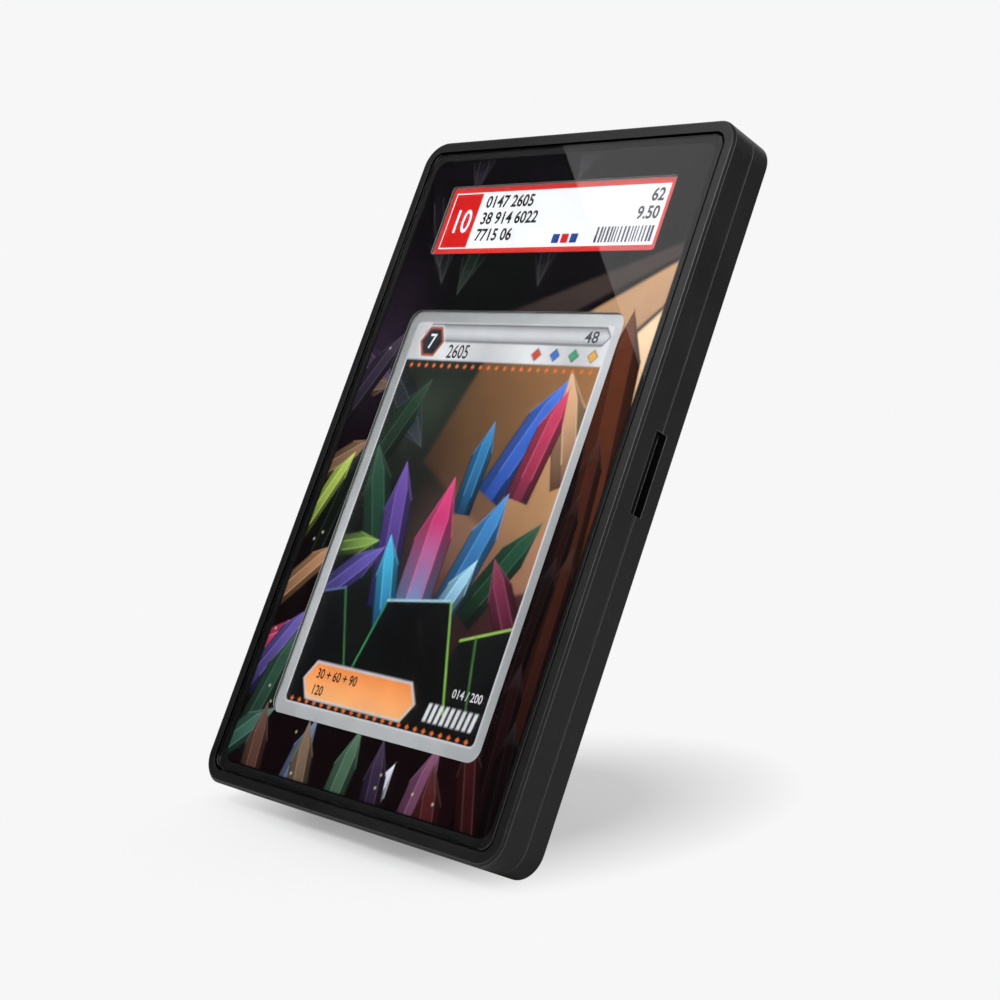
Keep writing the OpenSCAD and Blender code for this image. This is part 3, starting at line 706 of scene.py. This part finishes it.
class Ink:
    """Colours for points in mm, laid over one another. foil is how metallic each is, and step
    is the grid's: an edge that is one step soft keeps its place between the points."""

    def __init__(self, x, y, ground, step):
        self.x, self.y, self.rgb, self.step = x, y, ground, step
        self.foil = np.zeros(len(x))
        self.room = np.ones(len(x))

    def lay(self, cover, colour, foil=0.0):
        """Covers the points by a share from 0 to 1, inside the room that is left free."""
        cover = np.clip(cover, 0, 1) * self.room
        self.rgb = blend(self.rgb, colour, cover)
        self.foil += (foil - self.foil) * cover

    def inside(self, depth):
        """The share of ink at a depth inside an outline: half at the line, all a little further."""
        return np.clip(depth / self.step + 0.5, 0, 1)

    def depth(self, corners):
        """How far each point is inside a convex outline: its least distance to a side's line."""
        p = np.array(corners, float)
        sides = np.roll(p, -1, 0) - p
        turn = np.sign(sides[0, 0] * sides[1, 1] - sides[0, 1] * sides[1, 0])
        sides *= turn / np.linalg.norm(sides, axis=1, keepdims=True)
        away = sides[:, :1] * (self.y - p[:, 1:]) - sides[:, 1:] * (self.x - p[:, :1])
        return away.min(0)

    def ramp(self, start, end):
        """0 at start, 1 at end, straight between them."""
        way = np.subtract(end, start)
        along = (self.x - start[0]) * way[0] + (self.y - start[1]) * way[1]
        return np.clip(along / (way @ way), 0, 1)

    def facet(self, corners, first, last, start, end, cover=1.0, soft=1.0):
        """A convex patch whose colour runs from first to last. soft counts grid steps."""
        self.lay(self.inside(self.depth(corners) / soft) * cover,
                 blend(first, last, self.ramp(start, end)))

    def seam(self, start, end, width, colour, cover=1.0):
        """A thin straight line with round ends: the distance to the nearest point on it."""
        t, way = self.ramp(start, end), np.subtract(end, start)
        away = np.hypot(self.x - start[0] - t * way[0], self.y - start[1] - t * way[1])
        self.lay(self.inside(width / 2 - away) * cover, colour)

    def glow(self, middle, size, colour, cover, power=2.0):
        """A soft round patch that fades out with the distance over size."""
        away = np.hypot((self.x - middle[0]) / size[0], (self.y - middle[1]) / size[1])
        self.lay(np.clip(1 - away, 0, 1) ** power * cover, colour)

    # Of a crystal, in its widths: where its long edges stand and how far under the tip they end
    ACROSS, SHOULDERS, TIP = (-0.5, -0.18, 0.24, 0.5), (1.25, 0.85, 0.80, 1.15), 0.06
    FACET_LIGHT = (0.55, 1.0, 0.30)

    def crystal(self, foot, angle, length, width, colour, deep=None, edge=0.5):
        """A crystal seen from the side: three long facets, of which the middle one is bright,
        and three more that meet in its tip. Colours run from deep at the foot."""
        deep = colour * 0.22 if deep is None else deep
        turn = math.radians(angle)
        up = np.array([math.cos(turn), math.sin(turn)])
        side = np.array([math.sin(turn), -math.cos(turn)])

        def at(across, along):
            return foot + up * along + side * across * width

        across, tops = self.ACROSS, [length - k * width for k in self.SHOULDERS]
        tip = at(self.TIP, length)
        # The whole outline comes first, so that no ground shows between two soft facets
        self.facet([at(-0.5, 0), at(0.5, 0), at(0.5, tops[3]), tip, at(-0.5, tops[0])],
                   deep * 0.6, colour * 0.6, at(0, 0), tip)
        for k, light in enumerate(self.FACET_LIGHT):
            low, high = across[k], across[k + 1]
            self.facet([at(low, 0), at(high, 0), at(high, tops[k + 1]), at(low, tops[k])],
                       deep * light, colour * light, at(0, 0), at(0, tops[1]))
            self.facet([at(low, tops[k]), at(high, tops[k + 1]), tip], colour * light * 0.9,
                       colour * min(1.5 * light, 1.2) + 0.01, at(0, tops[0]), tip)
        line = np.clip(colour * 1.7 + 0.05, 0, 1)
        for k in (1, 2):
            self.seam(at(across[k], length * 0.2), at(across[k], tops[k]), 0.24, line, edge)
            self.seam(at(across[k], tops[k]), tip, 0.24, line, edge)
        for k in (0, 3):
            self.seam(at(across[k], 0), at(across[k], tops[k]), 0.30, colour * 0.05, 0.8)
            self.seam(at(across[k], tops[k]), tip, 0.26, line, edge * 0.6)

    def rim(self, depth, width, colour, foil=0.0):
        """A thin line where the depth is 0, which fades out over its width to either side."""
        self.lay(1 - np.abs(depth) / width, colour, foil)

    def crystals(self, rows, **look):
        """Crystals from rows of numbers: foot, angle, length, width, and one or two colours."""
        for x, y, angle, length, width, *tones in rows:
            colours = [rgb(*tones[k:k + 3]) for k in range(0, len(tones), 3)]
            self.crystal((x, y), angle, length, width, *colours, **look)


# %% Printed pieces and their finish
FOIL_METAL = 0.25


def printed_piece(name, points, faces, colours, mat):
    """A flat mesh from points in case millimetres, each with its colour and foil."""
    mesh = mesh_of(name, lean_back(points), faces)
    layer = mesh.color_attributes.new("ink", "FLOAT_COLOR", "POINT")
    layer.data.foreach_set("color", np.array(colours, np.float32).ravel())
    mesh.materials.append(mat)
    print(name, "has", len(faces), "faces")
    return placed(name, mesh)


def inked_piece(name, ink, quads, z, mat):
    """The piece that shows a picture: its ink's points at height z."""
    points = np.stack([ink.x, ink.y, np.full(len(ink.x), z)], -1)
    colours = np.concatenate([ink.rgb.clip(0, 1), ink.foil[:, None]], 1)
    return printed_piece(name, points, quads.tolist(), colours, mat)


def printed(name, roughness, coat, shine):
    """The finish of a print: its ink's colour, uneven gloss, and metal where the foil is."""
    mat, add, place = new_material(name)
    ink = add("Attribute", attribute_name="ink").outputs
    fibre = paper_fibre(add, place)
    tone = plus(add, fit(add, fibre["Fibre"], 0.2, 0.8, 0.0, 0.05),
                about(add, fibre["Cloud"], 0.06, 0.06))
    finish_with(add, {
        "Base Color": mix(add, tone, ink["Color"], grey(0.0)),
        "Metallic": times(add, ink["Alpha"], FOIL_METAL), "Specular IOR Level": shine,
        "Roughness": about(add, fibre["Cloud"], roughness, 0.05),
        "Coat Weight": coat, "Coat Roughness": 0.15,
        "Normal": bump(add, fibre["Fibre"], 3e-6, 0.4)})
    return mat


# %% [markdown]
# ## The printed sheet
# Round the card the sheet shows a dark crystal cavern: warm beams fall from the upper right,
# crystals in violet, rose, tan, olive and teal stand along the left and the bottom, and a black
# border runs round it all under the window's edge.

# %% Cavern round the openings
SHEET_HALF, SHEET_CORNER, SHEET_STEP = (40.4, 67.4), 3.1, 0.22
INK_BORDER, BORDER_INK = (40.2, 67.0), rgb(13, 12, 13)
HOLES = [((0, CARD_Y), (31.4, 43.9), 2.9), ((0, LABEL_Y), (32.65, 7.9), 0.7)]
SHEET_Y = CASE_H / 2
x, y, quads = print_grid((0, SHEET_Y), SHEET_HALF, SHEET_CORNER, SHEET_STEP, HOLES)
rise = np.clip(y / CASE_H, 0, 1)
cavern = Ink(x, y, blend(rgb(20, 9, 12), rgb(14, 12, 17), rise), SHEET_STEP)
cavern.glow((-12, 110), (30, 26), rgb(12, 20, 16), 0.8)
cavern.glow((-38, 96), (20, 30), rgb(46, 35, 50), 0.8)
cavern.glow((36, 20), (26, 40), rgb(36, 12, 15), 0.8)
for left, right, first, last in (
        ((-16, 99), (0, 96), (60, 50, 46), (20, 19, 21)),
        ((8, 97), (25, 91), (186, 146, 110), (66, 46, 36)),
        ((26, 90), (46, 52), (246, 216, 176), (170, 112, 72)),
        ((36, 70), (48, 58), (255, 232, 190), (200, 140, 88))):
    cavern.facet([(60, 126), left, right], rgb(*first), rgb(*last), (40, 112), (28, 66),
                 soft=4.0)
cavern.crystals((
    (47, 8, 98.5, 98, 9.5, 88, 46, 28), (43, 0, 96, 80, 5.6, 64, 32, 22),
    (35.5, 0, 91, 68, 4.2, 38, 17, 16), (39.5, -4, 92, 62, 5.0, 56, 28, 20),
    (32.0, 0, 88, 56, 4.4, 28, 12, 15), (37.5, -4, 95, 40, 5.2, 34, 14, 17),
    (41.5, -4, 98, 30, 5.0, 22, 10, 13)), deep=rgb(12, 5, 7), edge=0.12)

# %% Crystals along the left, the bottom and the top
cavern.crystals((
    (-46, 96, -28, 20, 6.5, 74, 58, 84), (-44, 86, 8, 15, 5.0, 96, 76, 66),
    (-43, 78, 62, 24, 6.0, 52, 44, 58), (-45, 66, 30, 19, 5.2, 126, 98, 74),
    (-36, 44, 82, 30, 7.0, 20, 26, 22), (-43, 52, 66, 22, 4.6, 150, 168, 78),
    (-44, 38, 44, 21, 5.6, 158, 118, 86), (-45, 28, 24, 18, 5.4, 196, 72, 110),
    (-42, 20, 58, 22, 5.6, 92, 80, 146), (-38, 8, 76, 26, 6.6, 46, 72, 60),
    (-44, 6, 40, 18, 6.0, 62, 96, 84), (-30, -4, 98, 22, 6.6, 86, 60, 52),
    (-21, -6, 78, 24, 5.4, 92, 104, 130), (-13, -4, 104, 21, 6.2, 110, 92, 74),
    (-5, -8, 84, 26, 6.4, 70, 96, 78), (4, -4, 70, 18, 5.0, 190, 190, 204),
    (9, -6, 100, 23, 6.0, 52, 40, 60), (17, -6, 82, 25, 6.8, 112, 70, 96),
    (27, -8, 106, 24, 7.2, 70, 30, 32), (38, -4, 112, 28, 6.0, 54, 20, 22),
    (-30, 124, -70, 14, 6.0, 22, 25, 25), (-17, 126, -96, 18, 7.0, 25, 34, 28),
    (2, 128, -82, 18, 5.6, 23, 20, 25), (-26, 146, -84, 15, 7.0, 27, 21, 31),
    (-38, 134, -62, 22, 6.4, 28, 23, 32), (8, 146, -100, 13, 8.0, 22, 19, 25)))
rng = np.random.default_rng(7)
for _ in range(12):
    spot = (rng.uniform(-39, -31) if rng.random() < 0.6 else rng.uniform(-30, 30),
            rng.uniform(18, 96))
    spot = spot if spot[0] < -31 else (spot[0], rng.uniform(6, 15))
    cavern.glow(spot, (0.4, 0.4), rgb(230, 220, 190), 0.8, 1.0)
border = np.maximum(np.abs(x) - INK_BORDER[0], np.abs(y - SHEET_Y) - INK_BORDER[1])
cavern.lay(cavern.inside(border), BORDER_INK)
art_ink = inked_piece("art_ink", cavern, quads, SHEET_TOP + 0.01,
                      printed("sheet_print", 0.42, 0.0, 0.02))
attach(art_ink, "cover")

# %% [markdown]
# ## The card
# The card has a silver-grey foil border, a pale band with a numbered badge and four small
# diamonds, a picture of glowing crystals, and an orange plaque near its foot.

# %% Card ground
CARD_STEP, PICTURE_HALF, PICTURE_CORNER = 0.255, (28.7, 41.2), 1.2
x, y, quads = print_grid((0, CARD_Y), np.array(CARD_HALF) - 0.02, CARD_CORNER, CARD_STEP)
low_y, high_y = CARD_Y - CARD_HALF[1], CARD_Y + CARD_HALF[1]
rise = np.clip((y - low_y) / (high_y - low_y), 0, 1)
card = Ink(x, y, blend(rgb(6, 6, 8), rgb(26, 28, 26), rise), CARD_STEP)
border = outline_gap(x, y, (0, CARD_Y), PICTURE_HALF, PICTURE_CORNER)[0]
card.room = (border < 0.1).astype(float)
card.glow((-16, 84), (24, 22), rgb(52, 62, 50), 0.8)
for corners, first, last, start, end, cover, soft in (
        (((40, 96), (40, 40), (2, 46), (-2, 62)), (226, 172, 118), (84, 50, 40),
         (26, 92), (2, 50), 1.0, 4.0),
        (((40, 96), (-4, 94), (-12, 72), (10, 60)), (160, 112, 66), (66, 46, 32),
         (28, 92), (-8, 70), 0.9, 5.0),
        (((40, 70), (40, 50), (18, 38), (8, 44)), (196, 140, 104), (60, 34, 34),
         (32, 66), (10, 42), 1.0, 3.0),
        (((40, 52), (40, 20), (8, 30), (4, 42)), (70, 38, 40), (14, 8, 12),
         (30, 46), (10, 30), 1.0, 4.0)):
    card.facet(corners, rgb(*first), rgb(*last), start, end, cover, soft)
card.glow((2, 58), (22, 20), rgb(120, 92, 84), 0.55)

# %% Card crystals
card.crystals((
    (-34, 92, -40, 26, 8.0, 46, 52, 60, 16, 18, 20),
    (-30, 66, 64, 26, 7.0, 36, 60, 44, 10, 16, 12),
    (30, 70, 112, 24, 8.0, 214, 168, 126, 110, 72, 52),
    (10, 66, 66, 27, 7.4, 62, 108, 206, 30, 70, 150),
    (18, 66, 80, 23, 6.6, 196, 54, 92, 110, 34, 60),
    (4, 62, 88, 19, 5.4, 44, 120, 170, 20, 60, 90),
    (-12, 44, 118, 34, 8.0, 40, 74, 58, 12, 24, 20),
    (14, 42, 58, 24, 7.0, 30, 78, 54, 10, 26, 18),
    (-10, 42, 104, 30, 7.6, 98, 70, 150, 30, 40, 90),
    (8, 42, 74, 26, 7.4, 58, 130, 190, 20, 70, 110),
    (-1, 38, 91, 31, 10.5, 198, 50, 112, 34, 150, 196),
    (-7, 38, 112, 19, 6.0, 60, 168, 206, 24, 84, 140),
    (6, 38, 66, 17, 5.6, 150, 196, 222, 50, 110, 170),
    (-31, 40, 40, 21, 6.2, 92, 80, 160, 30, 26, 60),
    (-30, 52, 12, 13, 4.6, 120, 150, 70, 30, 50, 24),
    (30, 38, 128, 20, 6.0, 120, 40, 70, 40, 12, 24)), edge=0.6)
for corners, tone in (
        (((-40, 12), (-40, 40), (-22, 44), (-6, 12)), (13, 15, 17)),
        (((-16, 12), (-8, 43), (10, 45), (22, 12)), (7, 8, 10)),
        (((8, 12), (16, 38), (29, 42), (40, 12)), (12, 14, 15))):
    card.facet(corners, rgb(*tone), rgb(3, 4, 5), corners[1], corners[0], soft=1.5)
for start, end, tone in (
        ((-22, 44), (-6, 12), (60, 120, 70)), ((-8, 43), (-14, 20), (60, 140, 90)),
        ((-8, 43), (10, 45), (170, 210, 220)), ((10, 45), (18, 24), (140, 196, 84)),
        ((16, 38), (29, 42), (156, 206, 92)), ((20, 39), (24, 24), (70, 120, 60)),
        ((-40, 40), (-22, 44), (90, 110, 150))):
    card.seam(start, end, 0.5, rgb(*tone), 0.85)

# %% Card border, band, badge and plaque
card.room = np.ones(len(x))
sheen = 0.5 + 0.5 * np.sin((x * 0.8 + y) * 0.055 + 0.6)
foil = np.outer(0.36 + 0.20 * sheen, [0.97, 0.99, 1.0])
card.lay(card.inside(border), foil, 1.0)
card.rim(border, 0.28, rgb(235, 236, 240), 1.0)
top = high_y - y
BAND = 28.8
band = card.depth([(-BAND, high_y - 2.8), (BAND, high_y - 2.8), (BAND, high_y - 11),
                   (-BAND, high_y - 11)])
pale = np.outer(0.55 + 0.20 * np.cos((x + 16) * 0.13) ** 2, [0.97, 0.98, 1.0])
card.lay(card.inside(band), pale, 0.3)
strip = card.depth([(-24, high_y - 3.0), (27, high_y - 3.0), (28.6, high_y - 4.9),
                    (27, high_y - 6.8), (-24, high_y - 6.8), (-25.6, high_y - 4.9)])
groove_tone = np.outer(0.20 + 0.42 * np.abs(np.sin((top - 3.0) * 0.80)), [0.96, 0.97, 1.0])
card.lay(card.inside(strip), groove_tone, 0.8)
card.rim(strip, 0.25, rgb(70, 72, 78), 0.6)
turn = np.radians(np.arange(0, 360, 60))
BADGE, BADGE_R = (-22.5, high_y - 6.9), 4.0
badge = card.depth(BADGE + BADGE_R * np.stack([np.cos(turn), np.sin(turn)], -1))
card.lay(card.inside(badge), rgb(34, 38, 48))
card.rim(badge - 0.5, 0.3, rgb(214, 96, 44))
card.rim(badge, 0.25, rgb(240, 240, 244))
for k, tone in enumerate(((206, 70, 40), (60, 104, 190), (60, 150, 110), (230, 170, 70))):
    spot = (10 + 5.2 * k, high_y - 9.0)
    pip = 1.35 - np.abs(x - spot[0]) - np.abs(y - spot[1])
    card.lay(card.inside(pip), rgb(*tone))
    card.rim(pip, 0.22, rgb(60, 62, 70))
plaque = card.depth([(-25, 24.6), (-22.4, 28.4), (7, 28.4), (9.6, 24.6), (7, 20.8),
                     (-22.4, 20.8)])
card.lay(card.inside(plaque), blend(rgb(240, 140, 70), rgb(252, 182, 118),
                                    card.ramp((0, 28.4), (0, 20.8))))
card.rim(plaque - 0.1, 0.45, rgb(206, 208, 214), 0.8)
for k in range(9):
    left = 13 + 1.6 * k
    tick = card.depth([(left, 22), (left + 0.9, 22), (left + 1.5, 25.5), (left + 0.6, 25.5)])
    card.lay(card.inside(tick), rgb(226, 226, 230))
for k in range(23):
    for level in (high_y - 12.2, low_y + 3.6):
        dot = 0.55 - np.abs(x + 26.4 - 2.4 * k) - np.abs(y - level)
        card.lay(card.inside(dot), rgb(226, 112, 52))
card_ink = inked_piece("card_ink", card, quads, CARD_TOP + 0.008,
                       printed("card_print_ink", 0.34, 0.12, 0.12))
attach(card_ink, "holder")

# %% [markdown]
# ## Figures and bars
# The label and the card carry plain numbers. Blender's own font is turned into flat meshes,
# which join into one piece each with the bars and blocks.

# %% Numbers as flat meshes
def number(text, spot, size, z, tone, align="LEFT", squeeze=0.86, weight=0.0):
    """A number's flat outlines with its foot at spot: points in mm, faces, height and colour."""
    curve = bpy.data.curves.new("figures", "FONT")
    curve.body, curve.size, curve.align_x, curve.offset = text, size, align, weight
    curve.resolution_u = 3
    writer = bpy.data.objects.new("figures", curve)
    mesh = bpy.data.meshes.new_from_object(writer)
    points = np.array([v.co[:2] for v in mesh.vertices]) * (squeeze, 1.0) + spot
    bpy.data.objects.remove(writer)
    return points.tolist(), [list(p.vertices) for p in mesh.polygons], z, tone


def block(left, low, right, high, z, tone):
    """One plain rectangle."""
    return [(left, low), (right, low), (right, high), (left, high)], [[0, 1, 2, 3]], z, tone


def marks_piece(name, marks, mat):
    """One mesh from marks, each of them points, faces, a height and a colour."""
    points, faces, colours = [], [], []
    for spots, sides, z, tone in marks:
        start = len(points)
        points += [(*spot, z) for spot in spots]
        faces += [[start + i for i in side] for side in sides]
        colours += [(*tone, 0.0)] * len(spots)
    piece = printed_piece(name, points, faces, colours, mat)
    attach(piece, "holder")
    return piece


# %% Label figures
FIRST_Z, SECOND_Z = LABEL_TOP + 0.006, LABEL_TOP + 0.011
black, white, brown = rgb(14, 14, 18), rgb(244, 244, 246), rgb(30, 18, 14)
ROWS, LEFT, RIGHT, BARS, SQUARES = (128.2, 124.4, 120.6), -20.8, 30.4, 14.6, 3.0
marks = [block(-31.0, 119.1, -22.6, 131.5, FIRST_Z, rgb(202, 20, 16)),
         number("10", (-26.8, 122.6), 7.6, SECOND_Z, white, "CENTER", 0.8, 0.06)]
for align, side, texts in (("LEFT", LEFT, ("0147 2605", "38 914 6022", "7715 06")),
                           ("RIGHT", RIGHT, ("62", "9.50"))):
    marks += [number(text, (side, row), 3.8, FIRST_Z, black, align, 0.9, 0.10)
              for text, row in zip(texts, ROWS)]
bars = BARS + rng.uniform(0.26, 0.66, 34).cumsum()
for start, end in zip(bars[::2], bars[1::2]):
    marks.append(block(start, 119.5, end, 122.9, FIRST_Z, rgb(30, 30, 60)))
for k, tone in enumerate(((26, 64, 140), (206, 26, 22), (26, 64, 140))):
    left = SQUARES + 2.6 * k
    marks.append(block(left, 119.6, left + 2.0, 121.6, FIRST_Z, rgb(*tone)))
label_digits = marks_piece("label_digits", marks, printed("label_ink", 0.4, 0.0, 0.05))

# %% Card figures
CARD_Z = CARD_TOP + 0.014
card_digits = marks_piece("card_digits", [
    number("7", (BADGE[0], BADGE[1] - 1.5), 4.6, CARD_Z, white, "CENTER", 0.9, 0.05),
    number("2605", (-16.6, high_y - 10.4), 4.2, CARD_Z, black, "LEFT", 0.8, 0.05),
    number("48", (25.6, high_y - 6.2), 3.4, CARD_Z, rgb(60, 62, 70), "RIGHT", 1.1, 0.05),
    number("30 + 60 + 90", (-21.4, 25.2), 2.8, CARD_Z, brown, weight=0.05),
    number("120", (-21.4, 21.9), 2.8, CARD_Z, brown, weight=0.05),
    number("014 / 200", (27.0, 27.4), 2.4, CARD_Z, rgb(220, 220, 224), "RIGHT", 0.9, 0.03)],
    printed("card_figures", 0.34, 0.0, 0.2))
